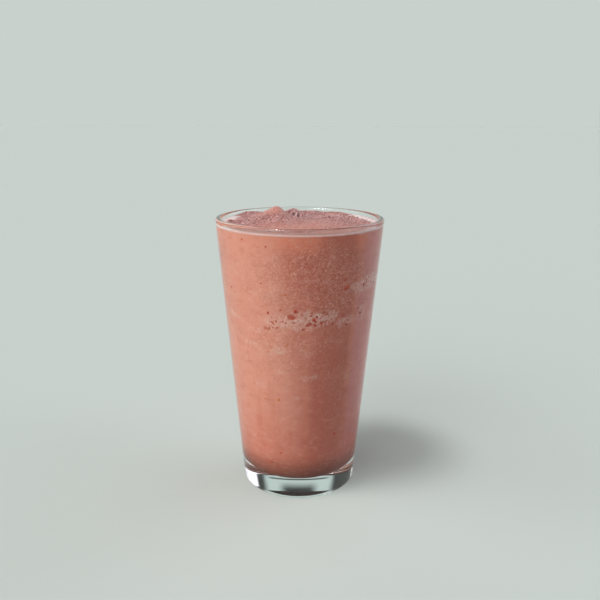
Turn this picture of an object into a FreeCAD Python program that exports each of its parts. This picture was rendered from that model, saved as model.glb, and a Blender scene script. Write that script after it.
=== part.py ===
"""Frozen strawberry lemonade, filled to the brim of its tapered drinking glass.

Millimetres. +Z is up and the origin is the middle of the foot, on the surface that the glass
stands on. +X is to the drinker's right and -Y is towards the drinker.

Three solids make the part: the glass, the thick drink that fills it and stands in a soft peak
above its rim, and the ring of pale froth where the drink's surface meets the glass.
"""

import FreeCAD
import Part
import math
import os

# --- The glass -----------------------------------------------------------------------------
GLASS_HEIGHT = 149.2
RIM_DIAMETER = 88.9  # outside, where the straight side would meet the rim's plane
FOOT_DIAMETER = 61.8  # outside, where the straight side would meet the ground
RIM_WALL = 3.3  # wall thickness at the rim
FLOOR_WALL = 5.4  # wall thickness level with the floor of the hollow
FLOOR_THICKNESS = 8.8  # solid glass under the middle of the hollow
BOWL_RADIUS = 18.0  # the hollow's side rounds into its floor
HEEL_RADIUS = 4.0  # the outer side rounds into the foot
LIP_OUTER_RADIUS = 1.2
LIP_INNER_RADIUS = 1.4
FOOT_RING_WIDTH = 5.0  # flat ring that the glass stands on, inside the heel
FOOT_DISH_DEPTH = 0.5  # depth of the shallow dish inside that ring

# --- The drink -----------------------------------------------------------------------------
LEVEL_BELOW_RIM = 2.7  # from the rim down to the drink's surface at the wall
CROWN_HEIGHT = 1.1  # how far the middle of the surface stands above its edge

PEAK_X = -12.0  # the soft peak, left of the middle and a little behind it
PEAK_Y = 9.0
PEAK_HEIGHT = 6.2
PEAK_SPREAD_LEFT = 9.5  # the reach of each of its slopes
PEAK_SPREAD_RIGHT = 5.0
PEAK_SPREAD_FRONT = 16.0
PEAK_SPREAD_BACK = 8.0
PEAK_SHARPNESS = 1.8  # 2 is a round bell, 1 a pointed cone

# Smaller swells and hollows of the surface: x, y, height and reach of each.
SWELLS = (
    (-4.0, 27.0, 3.0, 5.0),
    (6.0, 31.0, 1.3, 5.0),
    (-26.0, 24.0, 1.5, 8.0),
    (20.0, 29.0, 0.7, 6.0),
    (-22.0, -5.0, 1.2, 5.0),
    (-30.0, -9.0, -0.8, 4.5),
    (-2.0, 13.0, -1.0, 5.0),
    (17.0, 8.0, 0.7, 8.0),
    (27.0, -8.0, -0.6, 8.0),
    (8.0, -18.0, 0.6, 8.0),
    (-16.0, -26.0, -0.5, 7.0),
    (12.0, 20.0, -0.7, 6.0),
)

# --- The froth -----------------------------------------------------------------------------
FROTH_WIDTH = 2.6  # from the wall inwards
FROTH_HEIGHT = 1.9
FROTH_RISE = 0.6  # the froth's top above the drink's surface at the wall
FROTH_WAVE = 0.3  # how far its inner edge wanders in and out

# Wider patches: direction from the middle, in degrees from +X, how far each reaches to both
# sides, in degrees, and how much wider the ring is there.
FROTH_PATCHES = (
    (14.0, 20.0, 3.2),
    (42.0, 16.0, 1.4),
    (166.0, 16.0, 2.4),
    (236.0, 14.0, 0.9),
    (300.0, 22.0, 0.7),
)

# --- How the solids are made -----------------------------------------------------------------
SURFACE_STEP = 3.0  # spacing of the points that the drink's surface passes through
RING_STEPS = 36  # points round the froth ring
SECTION_STEPS = 8  # points round its section
SPLINE_DEGREE = 3
PAST = 20.0  # cutting solids run this far past what they cut
SAME = 1e-3  # lengths closer than this count as equal
FLOOR_SHARE = 0.9  # the bowl's rounding takes at most this share of the hollow's floor
LIP_SHARE = 0.45  # each rounding of the lip takes at most this share of the wall

RIM_RADIUS = RIM_DIAMETER / 2
FOOT_RADIUS = FOOT_DIAMETER / 2
LEVEL = GLASS_HEIGHT - LEVEL_BELOW_RIM


def outer_radius(z):
    """Radius of the glass's straight outer side at the height z."""
    return FOOT_RADIUS + (RIM_RADIUS - FOOT_RADIUS) * z / GLASS_HEIGHT


def hollow_radius(z):
    """Radius of the hollow's straight side at the height z."""
    at_floor = outer_radius(FLOOR_THICKNESS) - FLOOR_WALL
    at_rim = RIM_RADIUS - RIM_WALL
    share = (z - FLOOR_THICKNESS) / (GLASS_HEIGHT - FLOOR_THICKNESS)
    return at_floor + (at_rim - at_floor) * share


def is_rim(edge, z, radius):
    """Whether an edge is a level circle at the height z with the given radius."""
    if not isinstance(edge.Curve, Part.Circle):
        return False
    return abs(edge.Curve.Center.z - z) < SAME and abs(edge.Curve.Radius - radius) < SAME


def round_off(shape, z, radius, rounding):
    """The shape with its circular edge of that height and radius rounded off."""
    return shape.makeFillet(rounding, [edge for edge in shape.Edges if is_rim(edge, z, radius)])


def make_hollow():
    """The space inside the glass as a solid, from its rounded floor to well above the rim."""
    floor, top = FLOOR_THICKNESS, GLASS_HEIGHT + PAST
    foot = FreeCAD.Vector(0, 0, floor)
    cone = Part.makeCone(hollow_radius(floor), hollow_radius(top), top - floor, foot)
    rounding = min(BOWL_RADIUS, FLOOR_SHARE * hollow_radius(floor))
    return round_off(cone, floor, hollow_radius(floor), rounding)


def make_foot_dish():
    """A large ball, whose cap is the shallow dish under the foot."""
    reach = FOOT_RADIUS - HEEL_RADIUS - FOOT_RING_WIDTH
    radius = (reach**2 + FOOT_DISH_DEPTH**2) / (2 * FOOT_DISH_DEPTH)
    return Part.makeSphere(radius, FreeCAD.Vector(0, 0, FOOT_DISH_DEPTH - radius))


def make_glass(hollow):
    """The tapered glass with its heavy foot, rounded heel and rounded lip."""
    body = Part.makeCone(FOOT_RADIUS, RIM_RADIUS, GLASS_HEIGHT)
    glass = round_off(body, 0, FOOT_RADIUS, HEEL_RADIUS).cut(hollow)
    most = LIP_SHARE * RIM_WALL
    glass = round_off(glass, GLASS_HEIGHT, RIM_RADIUS, min(LIP_OUTER_RADIUS, most))
    glass = round_off(glass, GLASS_HEIGHT, RIM_RADIUS - RIM_WALL, min(LIP_INNER_RADIUS, most))
    return glass.cut(make_foot_dish())


def peak_height(x, y):
    """Height that the soft peak adds at x, y: steep on its right and back, long in front."""
    across = PEAK_SPREAD_LEFT if x < PEAK_X else PEAK_SPREAD_RIGHT
    along = PEAK_SPREAD_FRONT if y < PEAK_Y else PEAK_SPREAD_BACK
    away = math.hypot((x - PEAK_X) / across, (y - PEAK_Y) / along)
    return PEAK_HEIGHT * math.exp(-(away**PEAK_SHARPNESS))


def surface_height(x, y):
    """Height of the drink's surface at x, y."""
    from_wall = max(0.0, 1 - math.hypot(x, y) / hollow_radius(LEVEL))
    height = LEVEL + CROWN_HEIGHT * from_wall * (2 - from_wall) + peak_height(x, y)
    for swell_x, swell_y, rise, reach in SWELLS:
        away = math.hypot(x - swell_x, y - swell_y) / reach
        height += rise * math.exp(-(away**2))
    return height


def make_below_surface():
    """Everything under the drink's surface, as a block that is wider than the glass."""
    half = math.ceil(RIM_RADIUS / SURFACE_STEP) + 1
    places = [SURFACE_STEP * i for i in range(-half, half + 1)]
    grid = [[FreeCAD.Vector(x, y, surface_height(x, y)) for y in places] for x in places]
    surface = Part.BSplineSurface()
    surface.interpolate(grid)
    return surface.toShape().extrude(FreeCAD.Vector(0, 0, -GLASS_HEIGHT - PAST))


def froth_width(angle):
    """Width of the froth ring in one direction, in radians, with its wider patches."""
    width = FROTH_WIDTH + FROTH_WAVE * (math.sin(5 * angle) + math.sin(11 * angle))
    for centre, reach, extra in FROTH_PATCHES:
        turn = (math.degrees(angle) - centre + 180) % 360 - 180
        width += extra * math.exp(-((turn / reach) ** 2))
    return width


def froth_point(angle, around):
    """A point of the froth ring's skin: angle goes round the glass, around goes round its section."""
    half = FROTH_HEIGHT / 2
    middle = LEVEL + FROTH_RISE - half
    out = hollow_radius(middle) + froth_width(angle) * math.cos(around)
    height = middle + half * math.sin(around)
    return FreeCAD.Vector(out * math.cos(angle), out * math.sin(angle), height)


def whole_turn(steps):
    """Angles of that many even steps round a circle, in radians."""
    return [2 * math.pi * i / steps for i in range(steps)]


def make_froth(hollow):
    """The froth ring: a soft roll that follows the wall, cut off where it meets the glass."""
    poles = [[froth_point(a, b) for b in whole_turn(SECTION_STEPS)] for a in whole_turn(RING_STEPS)]
    knots = [list(range(steps + 1)) for steps in (RING_STEPS, SECTION_STEPS)]
    single = [[1] * len(row) for row in knots]
    skin = Part.BSplineSurface()
    skin.buildFromPolesMultsKnots(poles, *single, *knots, True, True, SPLINE_DEGREE, SPLINE_DEGREE)
    roll = Part.Solid(Part.Shell([skin.toShape()]))
    if roll.Volume < 0:
        roll.reverse()
    return roll.common(hollow)


def largest_solid(shape):
    """The largest solid of a shape, without slivers that a cut may leave."""
    return max(shape.Solids, key=lambda solid: solid.Volume)


def main():
    """Makes each piece and writes it to its own file."""
    hollow = make_hollow()
    glass = make_glass(hollow)
    froth = make_froth(hollow)
    drink = make_below_surface().common(hollow).cut(froth)
    os.makedirs("parts", exist_ok=True)
    for name, shape in (("glass", glass), ("drink", drink), ("froth_ring", froth)):
        solid = largest_solid(shape)
        solid.exportStep(f"parts/{name}.step")
        print(f"{name}: {solid.Volume / 1000:.1f} cm3")


main()
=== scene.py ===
"""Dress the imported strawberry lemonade: its clear tumbler, the frozen drink, the froth and a plain studio.

Lengths are in metres and written as millimetres times MM. Angles are in degrees and run round the glass
from its front towards its right, unless a name says otherwise.
"""

import logging
import math
import random
from abc import ABC, abstractmethod
from dataclasses import dataclass, field
from enum import Enum
from functools import reduce
from typing import Iterable, Sequence

import bmesh
import bpy
import numpy as np
from mathutils import Euler, Matrix, Vector, noise
from mathutils.bvhtree import BVHTree


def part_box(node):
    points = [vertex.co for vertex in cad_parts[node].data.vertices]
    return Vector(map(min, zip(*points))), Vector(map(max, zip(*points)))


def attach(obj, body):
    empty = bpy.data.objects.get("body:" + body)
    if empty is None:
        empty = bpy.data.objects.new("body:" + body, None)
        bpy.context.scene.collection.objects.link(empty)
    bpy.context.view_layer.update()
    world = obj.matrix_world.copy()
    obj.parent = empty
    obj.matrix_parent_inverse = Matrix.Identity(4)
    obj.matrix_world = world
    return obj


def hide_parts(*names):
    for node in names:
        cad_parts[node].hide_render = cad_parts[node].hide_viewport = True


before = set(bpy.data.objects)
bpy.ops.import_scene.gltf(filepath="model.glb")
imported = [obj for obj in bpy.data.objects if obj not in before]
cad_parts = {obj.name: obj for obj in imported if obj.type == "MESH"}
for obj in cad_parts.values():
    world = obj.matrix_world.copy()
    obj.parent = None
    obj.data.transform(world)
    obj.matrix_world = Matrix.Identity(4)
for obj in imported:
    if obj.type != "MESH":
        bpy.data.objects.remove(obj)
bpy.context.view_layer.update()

MM = 0.001
BODY = "root"
MERGE = 1e-7
MEASURED_AT = (0.4, 0.8)
PATCH_FADE = (0.25, 1.9)
PEBBLE_WAVES = 3.1
PEBBLE_STEP = (7.0, 3.0)
BUBBLE_CUTS = (6, 5)
LOG = logging.getLogger("lemonade")

Triple = tuple[float, float, float]
Colour = Triple
Reach = tuple[float, float]
Lump = tuple[np.ndarray, np.ndarray]
Socket = bpy.types.NodeSocket


# ---------------------------------------------------------------------------------------------- small tools


class Slot(Enum):
    """The record's material slots, which each piece is built with though nothing reads them."""

    GLASS = "clear_glass"
    DRINK = "drink"
    FROTH = "froth"


class Node(Enum):
    """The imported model's nodes."""

    GLASS = "glass"
    DRINK = "drink"
    FROTH = "froth_ring"


def around(angle: float, radius: float, height: float) -> Vector:
    """Place a point on the glass.

    Args:
        angle: degrees from the front towards the right.
        radius: distance from the axis.
        height: height above the table.

    Returns:
        The point in the frame.
    """
    turn = math.radians(angle)
    return Vector((radius * math.sin(turn), -radius * math.cos(turn), height))


def soft_step(value: np.ndarray, low: float, high: float) -> np.ndarray:
    """Rise smoothly from 0 at low to 1 at high, for each value."""
    share = np.clip((value - low) / (high - low), 0.0, 1.0)
    return share * share * (3.0 - 2.0 * share)


def angle_between(first: np.ndarray | float, second: float) -> np.ndarray | float:
    """The shorter turn from one angle to another, in degrees, with its sign."""
    return (first - second + 180.0) % 360.0 - 180.0


def search_tree(piece: bpy.types.Object) -> BVHTree:
    """A search tree over an object's mesh."""
    mesh = piece.data
    return BVHTree.FromPolygons([v.co for v in mesh.vertices], [tuple(p.vertices) for p in mesh.polygons])


def node_tree_of(node: Node) -> BVHTree:
    """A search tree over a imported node's mesh."""
    return search_tree(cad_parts[node.value])


def look_down(tree: BVHTree, x: float, y: float, start: float) -> tuple[Vector | None, Vector | None]:
    """Where a plumb line from a height first meets a surface, and which way the surface faces there."""
    return tree.ray_cast(Vector((x, y, start)), Vector((0, 0, -1)))[:2]


def angle_behind(chance: random.Random, front_half: float) -> float:
    """An angle by chance round the back, which leaves out this many degrees on either side of the front."""
    return 180.0 + chance.uniform(-1.0, 1.0) * (180.0 - front_half)


def spin_round(shape: bmesh.types.BMesh, steps: int, merge: float) -> None:
    """Turn a flat outline once round the upright axis and close its seam.

    Args:
        shape: the outline, which becomes the round shape.
        steps: how many steps the turn has.
        merge: vertices nearer than this become one.
    """
    bmesh.ops.spin(
        shape, geom=shape.verts[:] + shape.edges[:], axis=(0, 0, 1), cent=(0, 0, 0), dvec=(0, 0, 0),
        angle=2 * math.pi, steps=steps, use_merge=True, use_duplicate=False,
    )
    bmesh.ops.remove_doubles(shape, verts=shape.verts, dist=merge)


def write_attribute(mesh: bpy.types.Mesh, name: str, values: np.ndarray) -> None:
    """Store one number for each vertex, for a finish to read.

    Args:
        mesh: the piece's mesh.
        name: the attribute's name.
        values: one number a vertex, in the mesh's order.
    """
    attribute = mesh.attributes.new(name, "FLOAT", "POINT")
    attribute.data.foreach_set("value", values.astype(np.float32))


def vertex_places(mesh: bpy.types.Mesh) -> np.ndarray:
    """Read the vertices' places.

    Args:
        mesh: the mesh.

    Returns:
        The places as rows x, y, z.
    """
    flat = np.empty(len(mesh.vertices) * 3, np.float32)
    mesh.vertices.foreach_get("co", flat)
    return flat.reshape(-1, 3).astype(float)


@dataclass(frozen=True)
class Tumbler:
    """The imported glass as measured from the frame, from which every other piece takes its place."""

    height: float
    outer_foot: float
    outer_rim: float
    hollow_foot: float
    hollow_rim: float
    floor: float

    @classmethod
    def measured(cls) -> "Tumbler":
        """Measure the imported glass: its two straight walls, its height and its floor.

        Returns:
            The measured glass.
        """
        tree = node_tree_of(Node.GLASS)
        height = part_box(Node.GLASS.value)[1].z
        low, high = (share * height for share in MEASURED_AT)

        def reach(start: Vector, direction: Vector) -> Vector:
            """Where a line from a point first meets the glass."""
            return tree.ray_cast(start, direction)[0]

        outer_low = -reach(Vector((-height, 0, low)), Vector((1, 0, 0))).x
        outer_high = -reach(Vector((-height, 0, high)), Vector((1, 0, 0))).x
        hollow_low = reach(Vector((0, 0, low)), Vector((1, 0, 0))).x
        hollow_high = reach(Vector((0, 0, high)), Vector((1, 0, 0))).x
        outer_slope = (outer_high - outer_low) / (high - low)
        hollow_slope = (hollow_high - hollow_low) / (high - low)
        return cls(
            height=height,
            outer_foot=outer_low - outer_slope * low,
            outer_rim=outer_low + outer_slope * (height - low),
            hollow_foot=hollow_low - hollow_slope * low,
            hollow_rim=hollow_low + hollow_slope * (height - low),
            floor=reach(Vector((0, 0, low)), Vector((0, 0, -1))).z,
        )

    def outer(self, height: float) -> float:
        """The outer wall's radius at a height."""
        return self.outer_foot + (self.outer_rim - self.outer_foot) * height / self.height

    def hollow(self, height: float) -> float:
        """The hollow's radius at a height, as if its wall ran straight down."""
        return self.hollow_foot + (self.hollow_rim - self.hollow_foot) * height / self.height


class Outline:
    """A cut through a round piece, drawn from its axis and back to it, which is then spun."""

    def __init__(self, corners: Sequence[tuple[float, float]]) -> None:
        """Draw the straight outline.

        Args:
            corners: radius and height of each corner, in order.
        """
        self.shape = bmesh.new()
        self.places = [Vector((radius, 0.0, height)) for radius, height in corners]
        self.corners = [self.shape.verts.new(place) for place in self.places]
        for pair in zip(self.corners, self.corners[1:]):
            self.shape.edges.new(pair)

    def cut_side(self, index: int, cuts: int) -> None:
        """Cut the straight side that follows a corner into equal lengths, once the corners are round.

        Args:
            index: the corner that the side starts from.
            cuts: how many cuts it gets.
        """
        start, end = self.places[index], self.places[index + 1]
        along = (end - start).normalized()

        def on_side(edge: bmesh.types.BMEdge) -> bool:
            """Whether an edge lies on the straight side."""
            return all((vertex.co - start).cross(along).length < MERGE for vertex in edge.verts)

        side = max(filter(on_side, self.shape.edges), key=lambda edge: edge.calc_length())
        bmesh.ops.subdivide_edges(self.shape, edges=[side], cuts=cuts)

    def round_corner(self, index: int, radius: float, segments: int) -> None:
        """Round a corner with an arc.

        Args:
            index: the corner's place in the outline.
            radius: the arc's radius.
            segments: how many straight pieces stand for the arc.
        """
        corner = self.places[index]
        half = (self.places[index - 1] - corner).angle(self.places[index + 1] - corner) / 2
        bmesh.ops.bevel(
            self.shape, geom=[self.corners[index]], offset=radius / math.tan(half), offset_type="OFFSET",
            affect="VERTICES", segments=segments, profile=0.5, material=-1,
        )

    def spun(self, steps: int) -> bmesh.types.BMesh:
        """Turn the outline once round the axis.

        Args:
            steps: how many steps the turn has.

        Returns:
            The closed round shape.
        """
        spin_round(self.shape, steps, MERGE)
        return self.shape


# ------------------------------------------------------------------------------------------------- finishes


@dataclass(frozen=True)
class Pattern:
    """A smooth noise: its spots' size in millimetres, its finer layers, its swirl and how it is laid out."""

    size: float
    detail: float = 2.0
    rough: float = 0.5
    bend: float = 0.0
    stretch: Triple = (1.0, 1.0, 1.0)
    shift: Triple = (0.0, 0.0, 0.0)


@dataclass(frozen=True)
class Ramp:
    """A smooth change: start while a value is at low, and end once it is at high."""

    low: float
    high: float
    start: float = 0.0
    end: float = 1.0


@dataclass(frozen=True)
class Skin:
    """How a soft wet surface takes light: its gloss, how far light runs inside it, and its fine relief."""

    gloss: float
    glow: float
    spread: Triple
    reach: float
    relief: float
    relief_depth: float


class Sheet:
    """A short way to lay out the nodes of a material or of the world."""

    def __init__(self, tree: bpy.types.NodeTree) -> None:
        """Start with an empty tree."""
        self.tree = tree
        self.tree.nodes.clear()

    def fill(self, socket: Socket, value: object) -> None:
        """Link a socket to another node's output, or write a plain value on it.

        Args:
            socket: the input.
            value: an output socket, a number, a colour or a vector.
        """
        if isinstance(value, Socket):
            self.tree.links.new(value, socket)
        elif socket.type == "RGBA":
            socket.default_value = (*value, 1.0)
        else:
            socket.default_value = value

    def add(self, kind: str, inputs: dict | Sequence | None = None, **settings: object) -> bpy.types.Node:
        """Add a node.

        Args:
            kind: the node's type, without its ShaderNode prefix.
            inputs: values by the inputs' names, or in their order.
            settings: the node's own properties.

        Returns:
            The new node.
        """
        node = self.tree.nodes.new(f"ShaderNode{kind}")
        for name, value in settings.items():
            setattr(node, name, value)
        pairs = inputs.items() if isinstance(inputs, dict) else enumerate(inputs or ())
        for key, value in pairs:
            self.fill(node.inputs[key], value)
        return node

    def place(self, stretch: Triple = (1.0, 1.0, 1.0), shift: Triple = (0.0, 0.0, 0.0)) -> Socket:
        """The piece's own coordinates in millimetres, stretched or shifted.

        Args:
            stretch: how fast the pattern runs along each axis.
            shift: how far the pattern is moved, in millimetres.

        Returns:
            The coordinates' output.
        """
        coordinates = self.add("TexCoord").outputs["Object"]
        inputs = {"Vector": coordinates, "Location": shift, "Scale": Vector(stretch) / MM}
        return self.add("Mapping", inputs).outputs[0]

    def noise(self, pattern: Pattern) -> Socket:
        """Smooth noise from 0 to 1.

        Args:
            pattern: the noise's size and make.

        Returns:
            The noise's output.
        """
        inputs = {
            "Vector": self.place(pattern.stretch, pattern.shift),
            "Scale": 1.0 / pattern.size,
            "Detail": pattern.detail,
            "Roughness": pattern.rough,
            "Distortion": pattern.bend,
        }
        return self.add("TexNoise", inputs).outputs[0]

    def cells(self, size: float) -> Socket:
        """The distance to the middle of the nearest of many packed cells of a size in millimetres."""
        inputs = {"Vector": self.place(), "Scale": 1.0 / size}
        return self.add("TexVoronoi", inputs, feature="F1").outputs["Distance"]

    def math(self, operation: str, *values: object) -> Socket:
        """One step of arithmetic."""
        return self.add("Math", list(values), operation=operation).outputs[0]

    def times(self, *values: object) -> object:
        """The product of one or more values."""
        return reduce(lambda first, second: self.math("MULTIPLY", first, second), values)

    def most(self, *values: object) -> object:
        """The largest of one or more values."""
        return reduce(lambda first, second: self.math("MAXIMUM", first, second), values)

    def torn(self, value: object, noise_value: object, amount: float) -> Socket:
        """A value made ragged by a noise."""
        return self.math("MULTIPLY_ADD", self.math("SUBTRACT", noise_value, 0.5), amount, value)

    def step(self, value: object, ramp: Ramp) -> Socket:
        """Change smoothly along a ramp as a value changes.

        Args:
            value: the value.
            ramp: where the change runs from and to.

        Returns:
            The changed value's output.
        """
        inputs = {"Value": value, "From Min": ramp.low, "From Max": ramp.high}
        inputs |= {"To Min": ramp.start, "To Max": ramp.end}
        return self.add("MapRange", inputs, interpolation_type="SMOOTHSTEP").outputs[0]

    def mix(self, share: object, first: object, second: object) -> Socket:
        """Mix two colours.

        Args:
            share: how much of the second, from 0 to 1.
            first: the first colour or output.
            second: the second colour or output.

        Returns:
            The mixed colour.
        """
        node = self.add("Mix", data_type="RGBA", blend_type="MIX")
        self.fill(node.inputs[0], share)
        self.fill(node.inputs[6], first)
        self.fill(node.inputs[7], second)
        return node.outputs[2]

    def cover(self, under: object, over: object, value: object, ramp: Ramp, *masks: object) -> Socket:
        """Lay one colour over another.

        Args:
            under: the colour so far.
            over: the colour that is laid over it.
            value: what decides how much of it shows.
            ramp: how its share follows from the value.
            masks: further shares that it is multiplied with.

        Returns:
            The new colour.
        """
        return self.mix(self.times(self.step(value, ramp), *masks), under, over)

    def attribute(self, name: str) -> Socket:
        """A number that the piece's mesh holds."""
        return self.add("Attribute", attribute_name=name).outputs["Fac"]

    def bump(self, height: Socket, strength: float, depth: float) -> Socket:
        """Relief finer than the mesh.

        Args:
            height: the relief's pattern.
            strength: how much of it shows.
            depth: its depth in metres.

        Returns:
            The bent normal.
        """
        return self.add("Bump", {"Height": height, "Strength": strength, "Distance": depth}).outputs[0]

    def finish(self, shader: Socket) -> None:
        """Send a shader to the material's output."""
        self.fill(self.add("OutputMaterial").inputs["Surface"], shader)

    def finish_soft(self, colour: object, roughness: object, relief: Socket, skin: Skin) -> None:
        """Finish a material as a soft wet surface that light runs into.

        Args:
            colour: its colour.
            roughness: how dull its gloss is.
            relief: the pattern of its fine relief.
            skin: how it takes light.
        """
        inputs = {
            "Base Color": colour,
            "Roughness": roughness,
            "Specular IOR Level": skin.gloss,
            "Subsurface Weight": skin.glow,
            "Subsurface Radius": skin.spread,
            "Subsurface Scale": skin.reach,
            "Normal": self.bump(relief, skin.relief, skin.relief_depth),
        }
        self.finish(self.add("BsdfPrincipled", inputs).outputs[0])


@dataclass(frozen=True)
class Finish(ABC):
    """One surface finish, made into a material when a piece asks for it."""

    name: str

    def material(self) -> bpy.types.Material:
        """Make the material, once.

        Returns:
            The material of this name.
        """
        found = bpy.data.materials.get(self.name)
        if found:
            return found
        material = bpy.data.materials.new(self.name)
        material.use_nodes = True
        self.lay_out(Sheet(material.node_tree))
        return material

    @abstractmethod
    def lay_out(self, sheet: Sheet) -> None:
        """Lay out the finish's nodes."""


@dataclass(frozen=True)
class ClearGlass(Finish):
    """Clear pressed soda-lime glass with a faint green body and a slow waviness in its wall."""

    name: str = "tumbler_glass"
    tint: Colour = (0.965, 0.99, 0.975)
    shade: Colour = (0.93, 0.97, 0.95)
    bending: float = 1.52
    waves: Pattern = Pattern(26.0, 1.0, stretch=(1.0, 1.0, 0.45))
    wave_strength: float = 0.35
    wave_depth: float = 0.05 * MM

    def lay_out(self, sheet: Sheet) -> None:
        """Glass to the eye and to reflections, and a plain tinted window to shadows and to soft light.

        Args:
            sheet: the material's sheet.
        """
        inputs = {
            "Base Color": self.tint,
            "Roughness": 0.0,
            "IOR": self.bending,
            "Transmission Weight": 1.0,
            "Normal": sheet.bump(sheet.noise(self.waves), self.wave_strength, self.wave_depth),
        }
        glass = sheet.add("BsdfPrincipled", inputs).outputs[0]
        window = sheet.add("BsdfTransparent", {"Color": self.shade}).outputs[0]
        clear = sheet.add("BsdfTransparent", {"Color": (1.0, 1.0, 1.0)}).outputs[0]
        path = sheet.add("LightPath")
        in_shadow = sheet.add("MixShader", [path.outputs["Is Shadow Ray"], glass, window]).outputs[0]
        in_soft_light = sheet.add("MixShader", [path.outputs["Is Diffuse Ray"], in_shadow, clear]).outputs[0]
        sheet.finish(in_soft_light)


@dataclass(frozen=True)
class PressedSlush(Finish):
    """The drink pressed against the glass: salmon slush with pale foam, threads of ice and red juice.

    The ramps named by a height run on the height above the table in millimetres, and the hue of the
    painted light on the place across. The others run on a pattern or on an attribute of the mesh.
    Some of the colours and ramps paint light, shade and a violet reflection into the colour.
    """

    name: str = "pressed_slush"
    flesh: Colour = (0.820, 0.268, 0.178)
    deep: Colour = (0.640, 0.146, 0.088)
    # Colour of real stains and ice pits, and of painted shade low on the side.
    stain_and_shade: Colour = (0.520, 0.086, 0.042)
    juice: Colour = (0.930, 0.262, 0.150)
    pale: Colour = (0.920, 0.450, 0.345)
    # A pale colour of painted light on the left, and a violet painted reflection of a cool light on the
    # right.
    painted_light_cream: Colour = (0.885, 0.378, 0.272)
    painted_reflection_lilac: Colour = (0.820, 0.285, 0.270)
    foam: Colour = (0.960, 0.620, 0.545)
    froth: Colour = (0.720, 0.490, 0.480)
    red: Colour = (0.560, 0.062, 0.018)
    shadow: Colour = (0.100, 0.026, 0.016)
    clouds: Pattern = Pattern(22.0, 3.0, 0.55, stretch=(1.0, 1.0, 1.7))
    cloud_cover: Ramp = Ramp(0.30, 0.60, 0.25)
    juice_height: Ramp = Ramp(133.0, 142.5, end=0.80)
    # Ramps for the zones of painted shade and painted light.
    redder: Ramp = Ramp(0.0, -1.0, end=0.85)
    painted_light_cover: Ramp = Ramp(0.0, 1.0, end=0.80)
    painted_light_hue: Ramp = Ramp(-12.0, 22.0)
    # Painted shade: darker and redder towards the bottom, and a painted shadow under the thick foot.
    painted_shade_height: Ramp = Ramp(70.0, 8.0, end=0.72)
    painted_low_shade_height: Ramp = Ramp(30.0, 9.0, end=0.60)
    painted_foot_shadow_height: Ramp = Ramp(10.6, 9.2, end=0.90)
    mottle: Pattern = Pattern(5.5, 3.0, 0.62, 0.5, (1.0, 1.0, 1.7), (40.0, 0.0, 9.0))
    mottle_pale: Ramp = Ramp(0.50, 0.74, end=0.30)
    mottle_deep: Ramp = Ramp(0.48, 0.30, end=0.30)
    speckle: Pattern = Pattern(1.5, 3.0, 0.68, shift=(0.0, 7.0, 0.0))
    stains: Pattern = Pattern(9.0, 3.0, 0.6, stretch=(1.0, 1.0, 1.3), shift=(60.0, 0.0, 3.0))
    stain_cover: Ramp = Ramp(0.60, 0.42, end=0.22)
    fine_ice: Pattern = Pattern(0.85, 2.0, 0.6, shift=(3.0, 30.0, 0.0))
    ice_pits: Ramp = Ramp(0.48, 0.34, end=0.24)
    ice_light: Ramp = Ramp(0.53, 0.64, end=0.48)
    # Painted glints of ice, in the foam colour.
    painted_ice_glints: Ramp = Ramp(0.66, 0.72, end=0.70)
    curls: Pattern = Pattern(2.3, 2.0, 0.6, 1.1, (1.0, 1.0, 1.5))
    thread: Ramp = Ramp(0.010, 0.050, 0.80, 0.0)
    thread_breaks: Ramp = Ramp(0.40, 0.58)
    runs: Pattern = Pattern(3.4, 2.0, 0.55, stretch=(1.0, 1.0, 0.05))
    run_cover: Ramp = Ramp(0.46, 0.70, end=0.16)
    run_height: Ramp = Ramp(55.0, 95.0, 1.0, 0.0)
    tears: Pattern = Pattern(3.0, 4.0, 0.68, shift=(0.0, 0.0, 30.0))
    foam_tearing: float = 2.2
    foam_cover: Ramp = Ramp(0.0, 1.25, end=0.95)
    bubble: float = 1.5
    bubble_rims: Ramp = Ramp(0.16, 0.50, 0.35)
    small_bubble: float = 0.8
    small_rims: Ramp = Ramp(0.10, 0.45, 0.60)
    fine_foam: Pattern = Pattern(1.1, 3.0, 0.7, shift=(9.0, 0.0, 50.0))
    fine_cover: Ramp = Ramp(0.40, 0.62, 0.15)
    froth_tearing: float = 1.6
    froth_height: Ramp = Ramp(144.7, 146.0, end=0.85)
    hole_tearing: float = 0.7
    hole_cover: Ramp = Ramp(0.18, 0.72, end=0.90)
    roughness: float = 0.6
    skin: Skin = Skin(0.1, 0.30, (1.0, 0.42, 0.30), 2.0 * MM, 0.25, 0.10 * MM)

    def lay_out(self, sheet: Sheet) -> None:
        """The ground, then ice threads, streaks, foam, the froth's lower edge and juice holes.

        Args:
            sheet: the material's sheet.
        """
        across, _, height = sheet.add("SeparateXYZ", {"Vector": sheet.place()}).outputs
        speckle = sheet.noise(self.speckle)
        colour = self.ground(sheet, across, height)
        colour = self.ice_threads(sheet, colour, speckle)
        low = sheet.step(height, self.run_height)
        colour = sheet.cover(colour, self.deep, sheet.noise(self.runs), self.run_cover, low)
        colour = self.foam_patches(sheet, height, colour)
        holes = sheet.torn(sheet.attribute("juice"), speckle, self.hole_tearing)
        colour = sheet.cover(colour, self.red, holes, self.hole_cover)
        sheet.finish_soft(colour, self.roughness, speckle, self.skin)

    def ground(self, sheet: Sheet, across: Socket, height: Socket) -> Socket:
        """Slow changes of colour all over the side, with painted light, shade and a violet reflection, and
        painted shade low down.

        Args:
            sheet: the material's sheet.
            across: the place from left to right, in millimetres.
            height: the height above the table, in millimetres.

        Returns:
            The colour so far.
        """
        colour = sheet.mix(sheet.step(sheet.noise(self.clouds), self.cloud_cover), self.deep, self.flesh)
        colour = sheet.cover(colour, self.juice, height, self.juice_height)
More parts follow.
